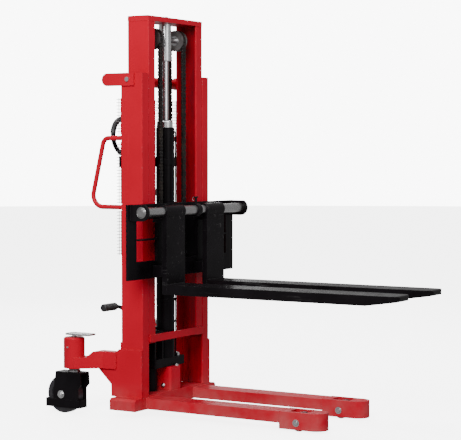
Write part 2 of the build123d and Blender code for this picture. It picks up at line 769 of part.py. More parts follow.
with BuildPart(socket_plane) as pump_tiller:
    rod_z(0, 0, (30, shaft_length), 13)
    loop_z = shaft_length + loop_r
    for side in (LEFT, RIGHT):
        with Locations((side * loop_straight, 0, loop_z)):
            Torus(loop_r, tube_r, major_angle=180, rotation=(90, 0, side * -90), align=None)
    for tube_z in (loop_z - loop_r, loop_z + loop_r):
        rod_x((-loop_straight, loop_straight), 0, tube_z, tube_r)
    rod_x((-20, 20), 0, lever_at, lever_pin_r)
save(pump_tiller.part, "pump_tiller")

# The lowering lever hangs on a pin through the tiller and is pulled to the rear.
with BuildPart(socket_plane) as lowering_lever:
    block((-17.3, 17.3), (15, 19), (lever_at - 4, lever_at + 105))
    for side in (LEFT, RIGHT):
        ear_span = span(side, 13.3, 17.3)
        block(ear_span, (-8, 15), (lever_at - 14, lever_at + 12))
        rod_x(ear_span, 0, lever_at, lever_pin_r + running_gap, mode=Mode.SUBTRACT)
    rod_x((-34, 34), 21, lever_at + 105, 6)
save(lowering_lever.part, "lowering_lever")
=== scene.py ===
import bmesh
import bpy
import json
from math import cos, pi, radians, sin
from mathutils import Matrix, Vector


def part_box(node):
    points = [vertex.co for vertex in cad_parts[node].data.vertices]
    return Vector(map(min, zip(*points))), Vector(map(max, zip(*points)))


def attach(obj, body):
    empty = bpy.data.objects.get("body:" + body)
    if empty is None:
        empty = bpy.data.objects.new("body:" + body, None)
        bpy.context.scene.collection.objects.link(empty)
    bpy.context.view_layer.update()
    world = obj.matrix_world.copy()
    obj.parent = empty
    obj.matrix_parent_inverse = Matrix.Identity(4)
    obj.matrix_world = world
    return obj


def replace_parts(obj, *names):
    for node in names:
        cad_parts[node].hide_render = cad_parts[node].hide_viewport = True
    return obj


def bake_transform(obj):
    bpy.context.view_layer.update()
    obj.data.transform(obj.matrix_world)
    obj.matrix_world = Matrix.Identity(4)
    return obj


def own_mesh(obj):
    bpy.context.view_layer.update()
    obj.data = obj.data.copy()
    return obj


# A hand-pumped straddle stacker: looks, small fittings, chains and guard round the CAD frame.
# Metres, +Z up, -Y to the fork tips, +X the machine's left.

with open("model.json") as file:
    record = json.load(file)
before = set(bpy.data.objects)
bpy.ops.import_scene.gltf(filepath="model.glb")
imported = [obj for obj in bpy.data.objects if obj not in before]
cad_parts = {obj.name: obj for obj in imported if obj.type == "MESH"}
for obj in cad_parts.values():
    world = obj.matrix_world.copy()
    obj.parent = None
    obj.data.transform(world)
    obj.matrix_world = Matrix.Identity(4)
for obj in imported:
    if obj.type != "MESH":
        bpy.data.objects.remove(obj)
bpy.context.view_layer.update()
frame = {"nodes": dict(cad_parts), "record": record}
SIDES = {"left": 1, "right": -1}


# ------------------------------------------------------------------ material building blocks
class Paintbox:
    """Short ways to add and link shader nodes of one material."""

    def __init__(self, name):
        self.material = bpy.data.materials.new(name)
        self.material.use_nodes = True
        self.tree = self.material.node_tree
        self.shader = self.tree.nodes["Principled BSDF"]
        self.place = self.add("ShaderNodeTexCoord").outputs["Object"]

    def add(self, kind, **settings):
        node = self.tree.nodes.new(kind)
        for key, value in settings.items():
            setattr(node, key, value)
        return node

    def link(self, source, target):
        self.tree.links.new(source, target)

    def feed(self, socket, value):
        if isinstance(value, bpy.types.NodeSocket):
            self.link(value, socket)
        else:
            socket.default_value = value

    def math(self, operation, first, second=0.0, third=0.0, clamp=False):
        node = self.add("ShaderNodeMath", operation=operation, use_clamp=clamp)
        for socket, value in zip(node.inputs, (first, second, third)):
            self.feed(socket, value)
        return node.outputs[0]

    def stretched(self, scale):
        node = self.add("ShaderNodeMapping")
        self.link(self.place, node.inputs["Vector"])
        node.inputs["Scale"].default_value = scale
        return node.outputs[0]

    def noise(self, scale, detail=4.0, rough=0.55, stretch=None):
        node = self.add("ShaderNodeTexNoise")
        self.link(self.stretched(stretch) if stretch else self.place, node.inputs["Vector"])
        node.inputs["Scale"].default_value = scale
        node.inputs["Detail"].default_value = detail
        node.inputs["Roughness"].default_value = rough
        return node.outputs["Fac"]

    def window(self, value, low, high, start=0.0, end=1.0):
        """value from low to high becomes start to end, and stays inside them."""
        node = self.add("ShaderNodeMapRange")
        self.feed(node.inputs["Value"], value)
        for key, number in zip(("From Min", "From Max", "To Min", "To Max"),
                               (low, high, start, end)):
            node.inputs[key].default_value = number
        return node.outputs[0]

    def mix(self, share, first, second):
        node = self.add("ShaderNodeMix", data_type="RGBA")
        self.feed(node.inputs["Factor"], share)
        colour_sockets = [s for s in node.inputs if s.type == "RGBA"]
        for socket, colour in zip(colour_sockets, (first, second)):
            self.feed(socket, colour if isinstance(colour, bpy.types.NodeSocket) else (*colour, 1.0))
        return [s for s in node.outputs if s.type == "RGBA"][0]

    def axis(self, name):
        node = self.add("ShaderNodeSeparateXYZ")
        self.link(self.place, node.inputs[0])
        return node.outputs[name]

    def edges(self, radius):
        """1 near the solid's sharp edges and 0 on its flats."""
        rounded = self.add("ShaderNodeBevel", samples=4)
        rounded.inputs["Radius"].default_value = radius
        flat = self.add("ShaderNodeNewGeometry")
        dot = self.add("ShaderNodeVectorMath", operation="DOT_PRODUCT")
        self.link(rounded.outputs[0], dot.inputs[0])
        self.link(flat.outputs["True Normal"], dot.inputs[1])
        return self.window(dot.outputs["Value"], 0.999, 0.93)

    def bump(self, *layers, round_edges=0.0015):
        """Each layer is (height, strength, distance); the solid's edges look eased."""
        normal = None
        if round_edges:
            rounded = self.add("ShaderNodeBevel", samples=4)
            rounded.inputs["Radius"].default_value = round_edges
            normal = rounded.outputs[0]
        for height, strength, distance in layers:
            node = self.add("ShaderNodeBump")
            node.inputs["Strength"].default_value = strength
            node.inputs["Distance"].default_value = distance
            self.link(height, node.inputs["Height"])
            if normal:
                self.link(normal, node.inputs["Normal"])
            normal = node.outputs[0]
        self.link(normal, self.shader.inputs["Normal"])

    def finish(self, colour, roughness, metallic=0.0, specular=0.5):
        self.feed(self.shader.inputs["Base Color"], colour)
        self.feed(self.shader.inputs["Roughness"], roughness)
        self.feed(self.shader.inputs["Metallic"], metallic)
        self.shader.inputs["Specular IOR Level"].default_value = specular
        return self.material


RED = (0.50, 0.0035, 0.020)
RED_DEEP = (0.40, 0.002, 0.014)
RED_CHALK = (0.54, 0.030, 0.045)
BLACK = (0.0030, 0.0022, 0.0028)
BLACK_DUST = (0.0085, 0.0070, 0.0085)
STEEL = (0.50, 0.50, 0.51)
STEEL_DARK = (0.26, 0.25, 0.25)
# The next colour darkens the channels' inner strip: partly roller grease, partly painted shade.
GREASE_AND_SHADE = (0.016, 0.008, 0.008)
RED_SHADE = (0.20, 0.004, 0.010)
DUST = (0.30, 0.25, 0.22)


def red_paint(name, track_shade_y=None):
    """Sprayed red enamel; given a channel's span, its inner faces get a dark strip, partly a greasy
    roller track and partly painted shade.
    """
    p = Paintbox(name)
    cloud = p.noise(2.3, 3)
    colour = p.mix(p.window(cloud, 0.30, 0.72), RED_DEEP, RED)
    worn_edge = p.math("MULTIPLY", p.edges(0.004), p.window(p.noise(38, 5), 0.42, 0.62))
    colour = p.mix(p.math("MULTIPLY", worn_edge, 0.55), colour, RED_CHALK)
    chips = p.math("MULTIPLY", p.edges(0.006), p.window(p.noise(95, 3, 0.7), 0.66, 0.70))
    colour = p.mix(chips, colour, STEEL_DARK)
    scuffs = p.window(p.noise(30, 6, 0.7, stretch=(1.0, 1.0, 0.12)), 0.62, 0.75)
    colour = p.mix(p.math("MULTIPLY", scuffs, 0.25), colour, RED_CHALK)
    low_dust = p.math("MULTIPLY", p.window(p.axis("Z"), 0.16, 0.02), p.window(p.noise(9, 5), 0.35, 0.75))
    colour = p.mix(p.math("MULTIPLY", low_dust, 0.35), colour, DUST)
    roughness = p.window(p.math("ADD", p.noise(14, 5), p.math("MULTIPLY", low_dust, 0.5)),
                         0.30, 1.0, 0.27, 0.52)
    # Dark strip on the channel's inner faces: partly a greasy roller track, partly painted shade for the
    # channel's shadowed hollow.
    if track_shade_y:
        low, high, reach = track_shade_y
        inside = p.math("MULTIPLY", p.math("GREATER_THAN", p.axis("Y"), low),
                        p.math("LESS_THAN", p.axis("Y"), high))
        inside = p.math("MULTIPLY", inside,
                        p.math("LESS_THAN", p.math("ABSOLUTE", p.axis("X")), reach))
        smear_and_shade = p.window(p.noise(16, 5, 0.7, stretch=(1.0, 1.0, 0.15)), 0.36, 0.62, 0.10, 0.62)
        track = p.mix(p.noise(60, 4, stretch=(1.0, 1.0, 0.05)), GREASE_AND_SHADE, RED_SHADE)
        inside = p.math("MULTIPLY", inside, smear_and_shade)
        colour = p.mix(inside, colour, track)
    peel = p.noise(420, 2)
    waves = p.noise(26, 3)
    p.bump((peel, 0.05, 0.0004), (waves, 0.06, 0.002), round_edges=0.0022)
    return p.finish(colour, roughness, specular=0.10)


def black_paint(name, scratch=0.0, gloss=0.24):
    """Gloss black enamel, dusty in patches; scratch rubs it to bare steel along Y."""
    p = Paintbox(name)
    colour = p.mix(p.window(p.noise(5, 5), 0.35, 0.80), BLACK, BLACK_DUST)
    edge = p.math("MULTIPLY", p.edges(0.003), p.window(p.noise(48, 4), 0.40, 0.66))
    colour = p.mix(p.math("MULTIPLY", edge, 0.35), colour, (0.05, 0.045, 0.05))
    metallic = 0.0
    if scratch:
        lines = p.window(p.noise(46, 6, 0.72, stretch=(1.0, 0.05, 1.0)), 0.60, 0.72)
        patch = p.window(p.noise(3.5, 3), 0.42, 0.66)
        rubbed = p.math("MULTIPLY", p.math("MULTIPLY", lines, patch), scratch)
        colour = p.mix(rubbed, colour, STEEL_DARK)
        metallic = p.math("MULTIPLY", rubbed, 0.8)
    roughness = p.window(p.noise(18, 5), 0.3, 0.75, gloss, gloss + 0.18)
    p.bump((p.noise(380, 2), 0.06, 0.0004), (p.noise(22, 3), 0.06, 0.002), round_edges=0.0020)
    return p.finish(colour, roughness, metallic, specular=0.07)


def worked_steel(name, light=STEEL, dark=STEEL_DARK, stretch=(1.0, 30.0, 30.0), rough=(0.22, 0.42),
                 oil=0.3):
    """Turned or drawn steel: fine tool lines, stains and a film of oil."""
    p = Paintbox(name)
    lines = p.noise(55, 3, stretch=stretch)
    stain = p.window(p.noise(11, 5, 0.6), 0.45, 0.75)
    colour = p.mix(p.window(lines, 0.35, 0.65), light, dark)
    colour = p.mix(p.math("MULTIPLY", stain, oil), colour, (0.10, 0.08, 0.06))
    roughness = p.window(p.math("ADD", lines, stain), 0.3, 1.5, *rough)
    p.bump((lines, 0.10, 0.0003), round_edges=0.0008)
    return p.finish(colour, roughness, 1.0)


def chrome(name):
    """Hard chrome with faint wiping marks and a thin oil film."""
    p = Paintbox(name)
    wipe = p.noise(70, 3, stretch=(1.0, 1.0, 0.03))
    colour = p.mix(p.window(p.noise(8, 4), 0.4, 0.8), (0.70, 0.71, 0.73), (0.52, 0.52, 0.53))
    p.bump((wipe, 0.04, 0.0002), round_edges=0.0008)
    return p.finish(colour, p.window(wipe, 0.3, 0.7, 0.06, 0.16), 1.0)


def cast_iron(name):
    """Greasy cast iron in blotchy tones, with a fine grain."""
    p = Paintbox(name)
    grain = p.noise(210, 4)
    colour = p.mix(p.window(p.noise(14, 5), 0.35, 0.7), (0.17, 0.16, 0.16), (0.055, 0.045, 0.040))
    p.bump((grain, 0.25, 0.0005), round_edges=0.0010)
    return p.finish(colour, p.window(grain, 0.3, 0.7, 0.34, 0.58), 0.75)


def moulded(name, colour, dusty, rough=(0.42, 0.62), grain=260, depth=0.18):
    """Moulded rubber or nylon: fine grain, scuffs and floor dust."""
    p = Paintbox(name)
    scuff = p.window(p.noise(24, 6, 0.68), 0.50, 0.74)
    tone = p.mix(p.math("MULTIPLY", scuff, 0.5), colour, dusty)
    p.bump((p.noise(grain, 3), depth, 0.0004), (p.noise(30, 3), 0.06, 0.001), round_edges=0.0010)
    return p.finish(tone, p.window(p.noise(40, 5), 0.3, 0.75, *rough))


outer_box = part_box("outer_mast_left")
inner_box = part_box("inner_mast_left")

MATERIALS = {
    "red": red_paint("red enamel"),
    "outer_channel": red_paint("red enamel with outer track and painted shade", (
        outer_box[0][1] + 0.0085, outer_box[1][1] - 0.0085, outer_box[1][0] - 0.0050)),
    "inner_channel": red_paint("red enamel with inner track and painted shade", (
        inner_box[0][1] + 0.0085, inner_box[1][1] - 0.0085, inner_box[1][0] - 0.0050)),
    "black": black_paint("black enamel"),
    "fork_black": black_paint("black enamel rubbed by loads", scratch=0.55, gloss=0.20),
    "cylinder_black": black_paint("black enamel on the cylinder", gloss=0.16),
    "steel": worked_steel("turned steel"),
    "zinc": worked_steel("zinc plate", (0.66, 0.66, 0.67), (0.50, 0.50, 0.50),
                         (12.0, 12.0, 1.0), (0.24, 0.40), oil=0.08),
    "chrome": chrome("hard chrome"),
    "iron": cast_iron("greasy cast iron"),
    "chain": worked_steel("oiled chain", (0.060, 0.055, 0.055), (0.018, 0.016, 0.016),
                          (20.0, 20.0, 20.0), (0.30, 0.48), oil=0.6),
    "spring": worked_steel("black spring wire", (0.06, 0.06, 0.065), (0.03, 0.03, 0.03),
                           (8.0, 8.0, 8.0), (0.25, 0.40), oil=0.2),
    "wire": moulded("coated guard wire", (0.030, 0.026, 0.030), (0.12, 0.10, 0.10), (0.30, 0.48)),
    "rubber": moulded("grip rubber", (0.012, 0.012, 0.013), (0.055, 0.050, 0.048)),
    "nylon": moulded("dark nylon", (0.016, 0.014, 0.018), (0.10, 0.09, 0.085), (0.28, 0.50),
                     grain=120, depth=0.10),
}

NODE_LOOKS = {
    "outer_channel": ["outer_mast_left", "outer_mast_right"],
    "inner_channel": ["inner_mast_left", "inner_mast_right"],
    "fork_black": ["fork_left", "fork_right"],
    "cylinder_black": ["lift_cylinder"],
}
SLOT_LOOKS = {
    "red_paint": "red",
    "black_paint": "black",
    "bare_steel": "steel",
    "zinc_plate": "zinc",
    "chrome_rod": "chrome",
    "chain_steel": "chain",
    "cast_iron": "iron",
    "spring_steel": "spring",
    "guard_wire": "wire",
    "grip_rubber": "rubber",
    "wheel_tread": "nylon",
}


def dress_frame():
    """Give every CAD node its detailed material."""
    own = {node: look for look, nodes in NODE_LOOKS.items() for node in nodes}
    for part in frame["record"]["subparts"]:
        look = own.get(part["node"], SLOT_LOOKS[part["material_slot"]])
        target = frame["nodes"][part["node"]]
        for slot in target.material_slots:
            slot.material = MATERIALS[look]


dress_frame()


# ------------------------------------------------------------------ mesh tools
def spin(axis):
    """Two unit vectors square to an axis and to each other."""
    axis = axis.normalized()
    side = axis.orthogonal().normalized()
    return side, axis.cross(side)


class Piece:
    """One mesh object, grown from turned shapes, swept bars, plates and weld beads."""

    def __init__(self, name):
        self.name = name
        self.mesh = bmesh.new()

    def skin(self, rings, closed=False):
        """Join rings of points into a skin, capped at its two ends unless it is closed."""
        made = [[self.mesh.verts.new(point) for point in ring] for ring in rings]
        pairs = list(zip(made, made[1:]))
        if closed:
            pairs.append((made[-1], made[0]))
        for near, far in pairs:
            for i, corner in enumerate(near):
                j = (i + 1) % len(near)
                self.mesh.faces.new((corner, near[j], far[j], far[i]))
        if not closed:
            self.mesh.faces.new(made[0][::-1])
            self.mesh.faces.new(made[-1])

    def turned(self, base, axis, profile, sides=24, start=0.0):
        """Turn (distance along, radius) pairs round an axis; six sides make a hexagon."""
        base, axis = Vector(base), Vector(axis).normalized()
        side, other = spin(axis)
        turns = [start + 2 * pi * k / sides for k in range(sides)]
        self.skin([
            [base + axis * along + (side * cos(a) + other * sin(a)) * radius for a in turns]
            for along, radius in profile
        ])

    def ring(self, base, axis, inner, profile, sides=32):
        """Turn a hollow shape: profile is (distance along, outer radius), its bore is inner."""
        base, axis = Vector(base), Vector(axis).normalized()
        side, other = spin(axis)
        loop = [*profile, (profile[-1][0], inner), (profile[0][0], inner)]
        self.skin([
            [base + axis * along + (side * cos(a) + other * sin(a)) * radius
             for along, radius in loop]
            for a in (2 * pi * k / sides for k in range(sides))
        ], closed=True)

    def swept(self, path, radius, sides=10, closed=False):
        """A round bar along a path; radius is a number or one number for each point."""
        path = [Vector(point) for point in path]
        last = len(path) - 1
        sizes = radius if isinstance(radius, list) else [radius] * len(path)
        if not closed and not isinstance(radius, list):
            ease = min(radius * 0.35, (path[1] - path[0]).length * 0.3)
            path = [path[0], path[0] + (path[1] - path[0]).normalized() * ease, *path[1:last],
                    path[last] + (path[last - 1] - path[last]).normalized() * ease, path[last]]
            last = len(path) - 1
            sizes = [radius * 0.68] + [radius] * (last - 1) + [radius * 0.68]
        rings, side = [], None
        for i, point in enumerate(path):
            before = path[i - 1] if i or closed else point
            after = path[(i + 1) % len(path)] if i < last or closed else point
            along = (after - before).normalized()
            side = along.orthogonal() if side is None else side - along * side.dot(along)
            side.normalize()
            other = along.cross(side)
            rings.append([
                point + (side * cos(a) + other * sin(a)) * sizes[i]
                for a in (2 * pi * k / sides for k in range(sides))
            ])
        self.skin(rings, closed)

    def plate(self, outline, x_low, x_high):
        """A flat plate facing X; its outline's corners are (y, z)."""
        self.skin([[Vector((x, y, z)) for y, z in outline] for x in (x_low, x_high)])

    def bolt(self, base, axis, size, washer=1.7, height=0.65):
        """A hex head or nut with a washer, standing on base; size is the thread's diameter."""
        base, axis = Vector(base), Vector(axis).normalized()
        thick = 0.16 * size
        if washer:
            self.turned(base, axis, [(0, size * 0.98 * washer / 1.7 * 1.1), (thick, size * 1.06)])
        seat = thick if washer else 0.0
        top = seat + height * size
        self.turned(base, axis, [(seat, size * 0.92), (top - 0.1 * size, size * 0.92),
                                 (top, size * 0.78)], sides=6)
        self.turned(base, axis, [(top - 0.05 * size, size * 0.45), (top + 0.12 * size, size * 0.45),
                                 (top + 0.18 * size, size * 0.36)], sides=14)

    def weld(self, path, size=0.0030, closed=False):
        """A hand-laid bead with its ripples, along straight stretches between points."""
        path = [Vector(point) for point in path]
        ends = list(zip(path, path[1:] + path[:1] if closed else path[1:]))
        points = []
        for near, far in ends:
            steps = max(2, round((far - near).length / 0.0019))
            points += [near.lerp(far, k / steps) for k in range(steps)]
        if not closed:
            points.append(path[-1])
        sizes = [
            size * (0.90 + 0.13 * (k % 2) + 0.07 * sin(k * 0.71) + 0.04 * sin(k * 0.23))
            for k in range(len(points))
        ]
        if not closed:
            sizes[0] *= 0.55
            sizes[-1] *= 0.55
        self.swept(points, sizes, sides=7, closed=closed)

    def done(self, look, body=None, smooth=38):
        """Make the object, with its material, and let it ride on its body."""
        bmesh.ops.recalc_face_normals(self.mesh, faces=self.mesh.faces)
        data = bpy.data.meshes.new(self.name)
        self.mesh.to_mesh(data)
        self.mesh.free()
        data.materials.append(MATERIALS[look])
        data.shade_smooth()
        data.set_sharp_from_angle(angle=radians(smooth))
        item = bpy.data.objects.new(self.name, data)
        bpy.context.collection.objects.link(item)
        if body:
            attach(item, body)
        return item


def ring_path(centre, axis, radius, count=28, start=0.0, turn=2 * pi):
    """Points on a circle, or on part of one when turn is less than a full turn."""
    side, other = spin(Vector(axis))
    steps = count if turn >= 2 * pi else count - 1
    return [
        Vector(centre) + (side * cos(a) + other * sin(a)) * radius
        for a in (start + turn * k / steps for k in range(count))
    ]


def rounded(path, radius, steps=6):
    """A path with its inner corners rounded."""
    path = [Vector(point) for point in path]
    out = [path[0]]
    for before, corner, after in zip(path, path[1:], path[2:]):
        reach = min(radius, (before - corner).length * 0.49, (after - corner).length * 0.49)
        near = corner + (before - corner).normalized() * reach
        far = corner + (after - corner).normalized() * reach
        for k in range(steps + 1):
            t = k / steps
            out.append(near * (1 - t) ** 2 + corner * 2 * t * (1 - t) + far * t * t)
    return [*out, path[-1]]


X, Y, Z = Vector((1, 0, 0)), Vector((0, 1, 0)), Vector((0, 0, 1))
LOOK_SLOTS = {look: slot for slot, look in SLOT_LOOKS.items()}
LOOK_SLOTS.update(outer_channel="red_paint", inner_channel="red_paint", fork_black="black_paint",
                  cylinder_black="black_paint")

# Planes and axes of the machine, read from the CAD frame
mast_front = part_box("outer_mast_left")[0].y
mast_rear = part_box("outer_mast_left")[1].y
web_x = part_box("outer_mast_left")[1].x
inner_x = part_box("inner_mast_left")[1].x
cylinder = (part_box("lift_cylinder")[0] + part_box("lift_cylinder")[1]) / 2
cylinder_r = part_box("lift_cylinder")[1].x
wheel_z = (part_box("chain_axle")[0].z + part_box("chain_axle")[1].z) / 2
chain_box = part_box("rear_chains")
chain_x = chain_box[1].x - 0.013
chain_reach = (chain_box[0].y + chain_box[1].y) / 2 - cylinder.y


# ------------------------------------------------------------------ guard of crossed wires
MESH_PITCH = 0.015
HANDLE_GAP = 0.017       # the wires stop this far from a push handle's root
GUARD_STUD_X = 0.2475


def add_guard():
    """Welded wire mesh with bare wire ends, held off the posts by studs."""
    low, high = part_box("mesh_guard")
    wire_r = 0.0014
    handle_low, handle_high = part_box("push_handle_left")
    roots = [handle_low.z + 0.011, handle_high.z - 0.011]
    gap_x = (handle_low.x + handle_high.x) / 2 - HANDLE_GAP
    first_z = low.z + 0.0065
    rows = [first_z + MESH_PITCH * k for k in range(int((high.z - first_z) / MESH_PITCH) + 1)]
    columns = [MESH_PITCH * k for k in range(-19, 20)]
    wires = Piece("guard_wires")
    for z in rows:
        y = high.y - wire_r
        half = gap_x if any(abs(z - root) < HANDLE_GAP for root in roots) else high.x
        wires.swept([(-half, y, z), (half, y, z)], wire_r, sides=8)
    for x in columns:
        y = low.y + wire_r
        stops = [low.z]
        if abs(abs(x) - 0.270) < 0.5 * MESH_PITCH + HANDLE_GAP:
            for root in roots:
                stops += [root - HANDLE_GAP, root + HANDLE_GAP]
        stops.append(high.z)
        for bottom, top in zip(stops[::2], stops[1::2]):
            wires.swept([(x, y, bottom), (x, y, top)], wire_r, sides=8)
    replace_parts(wires.done("wire", "chassis"), "mesh_guard")

    studs = Piece("guard_studs")
    for side in SIDES.values():
        for row in (3, 22, 34, 45):
            base = (side * GUARD_STUD_X, mast_rear, rows[row] + MESH_PITCH / 2)
            studs.turned(base, Y, [(0, 0.0058), (low.y - mast_rear, 0.0058)], sides=16)
            rear = (base[0], high.y, base[2])
            studs.turned(rear, Y, [(0, 0.0100), (0.0012, 0.0104), (0.0016, 0.0100)])
            studs.bolt((base[0], high.y + 0.0016, base[2]), Y, 0.006, washer=0)
    studs.done("zinc", "chassis")


# ------------------------------------------------------------------ leaf chains
CHAIN_PITCH = 0.0159
PLATE_THICK = 0.0030
LANE_STEP = 0.0034
LANES = 7
PLATE_HALF = 0.0074
WRAP_LINKS = 8
LUG_OVERHANG = 0.010     # the front chains' studs stand this far in front of the chains
LUG_HEIGHT = 0.041


def link_plate(piece, x, near, far):
    """A waisted link plate between two pin centres, given as (y, z)."""
    run = Vector((far[0] - near[0], far[1] - near[1]))
    along = run.normalized()
    across = Vector((-along.y, along.x))
    middle = Vector(near) + run / 2
    outline = []
    for centre, first in ((near, 90), (far, -90)):
        for k in range(5):
            a = radians(first + 45 * k)
            outline.append(Vector(centre) + (along * cos(a) + across * sin(a)) * PLATE_HALF)
        waist = -0.78 if centre is near else 0.78
        outline.append(middle + across * PLATE_HALF * waist)
    piece.plate(outline, x - PLATE_THICK / 2, x + PLATE_THICK / 2)


def leaf_chain(piece, x, pins, first_link=0):
    """Laced plates and riveted pins through a run of pin centres (y, z)."""
    for k, (near, far) in enumerate(zip(pins, pins[1:])):
        odd = (k + first_link) % 2
        for lane in range(odd, LANES, 2):
            link_plate(piece, x + (lane - (LANES - 1) / 2) * LANE_STEP, near, far)
    half = 0.0127
    for y, z in pins:
        piece.turned((x - half, y, z), X, [(0, 0.0020), (0.0007, 0.0030), (2 * half - 0.0007, 0.0030),
                                           (2 * half, 0.0020)], sides=8)


def straight_pins(y, start_z, end_z):
    count = 2 * round(abs(end_z - start_z) / CHAIN_PITCH / 2) + 1
    return [(y, start_z + (end_z - start_z) * k / count) for k in range(count + 1)]


def add_chains():
    """Two leaf chains, each up from the carriage, over its wheel and down to the cross member."""
    front_y, rear_y = cylinder.y - chain_reach, cylinder.y + chain_reach
    front_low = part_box("front_chains")[0].z
    rear_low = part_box("rear_chains")[0].z
    front, rear = Piece("leaf_chains_front"), Piece("leaf_chains_rear")
    wrap = [
        (cylinder.y - chain_reach * cos(pi * k / WRAP_LINKS),
         wheel_z + chain_reach * sin(pi * k / WRAP_LINKS))
        for k in range(WRAP_LINKS + 1)
    ]
    for side in SIDES.values():
        rise = straight_pins(front_y, front_low, wheel_z)
        leaf_chain(front, side * chain_x, rise + wrap[1:])
        leaf_chain(rear, side * chain_x, straight_pins(rear_y, wheel_z, rear_low),
                   len(rise) - 1 + WRAP_LINKS)
    front_chain = front.done("chain")
    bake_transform(front_chain)
    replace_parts(front_chain, "front_chains")
    rear_chain = rear.done("chain")
    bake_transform(rear_chain)
    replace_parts(rear_chain, "rear_chains")

    cross_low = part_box("mast_cross_member")[0].z
    for name, body, y, stud_y, seat, under in (
        ("chain_anchors_front", "carriage", front_y, front_y - LUG_OVERHANG,
         front_low, front_low - LUG_HEIGHT),
        ("chain_anchors_rear", "chassis", rear_y, rear_y, rear_low, cross_low),
    ):
        anchors = Piece(name)
        for side in SIDES.values():
            x = side * chain_x
            for cheek in (-0.0145, 0.0145):
                outline = [(y - 0.0078, seat), (y + 0.0078, seat), (y + 0.0078, seat + 0.014),
                           (y + 0.0038, seat + 0.0185), (y - 0.0038, seat + 0.0185),
                           (y - 0.0078, seat + 0.014)]
                anchors.plate(outline, x + cheek - 0.0014, x + cheek + 0.0014)
            anchors.turned((x - 0.0175, y, seat + 0.0105), X,
                           [(0, 0.0030), (0.0008, 0.0038), (0.0342, 0.0038), (0.035, 0.0030)],
                           sides=14)
            threads = [(0.0010 * k, 0.0050 if k % 2 else 0.0044) for k in range(37)]
            anchors.turned((x, stud_y, under), -Z, threads, sides=16)
            anchors.bolt((x, stud_y, under), -Z, 0.010)
            anchors.turned((x, stud_y, under - 0.0095), -Z,
                           [(0, 0.0086), (0.0045, 0.0092), (0.005, 0.0084)], sides=6)
        anchors.done("zinc", body)


def add_spring():
    """A coil spring round the plunger, from the pump block to the plunger's cap."""
    low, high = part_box("pump_spring")
    centre = (low + high) / 2
    wire_r, turns = 0.0021, 9.5
    radius = (high.x - low.x) / 2 - wire_r
    steps = int(turns * 18)
    path = []
    for k in range(steps + 1):
        share = k / steps
        dead = 0.9 / turns
        rise = min(max((share - dead) / (1 - 2 * dead), 0), 1)
        closed = wire_r * 2 * (min(share / dead, 1) + max((share - 1 + dead) / dead, 0))
        free = high.z - low.z - 6 * wire_r
        a = 2 * pi * turns * share
        path.append((centre.x + radius * cos(a), centre.y + radius * sin(a),
                     low.z + wire_r + closed + free * rise))
    coil = Piece("plunger_spring")
    coil.swept(path, wire_r, sides=8)
    spring = coil.done("spring", "chassis")
    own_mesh(spring)
    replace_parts(spring, "pump_spring")


def add_foot_grip():
    """Ribbed rubber sleeve on the pump's foot lever."""
    low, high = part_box("pedal_grip")
    centre, radius = (low + high) / 2, (high.z - low.z) / 2
    length = high.x - low.x
    ribs = 11
    profile = [(0.0, radius * 0.55), (0.0008, radius * 0.80), (0.004, radius * 0.97),
               (0.009, radius)]
    span = length - 0.018
    for k in range(ribs):
        base = 0.009 + span * k / ribs
        step = span / ribs
        profile += [(base + step * 0.30, radius), (base + step * 0.42, radius - 0.0016),
                    (base + step * 0.80, radius - 0.0016), (base + step * 0.92, radius)]
    profile += [(length - 0.006, radius), (length - 0.0015, radius * 0.93), (length, radius * 0.80)]
    grip = Piece("foot_grip")
    grip.turned((low.x, centre.y, centre.z), X, profile, sides=32)
    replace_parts(grip.done("rubber", "pump_rocker"), "pedal_grip")


add_guard()
add_chains()
add_spring()
add_foot_grip()


# ------------------------------------------------------------------ weld beads
WELD = 0.0028


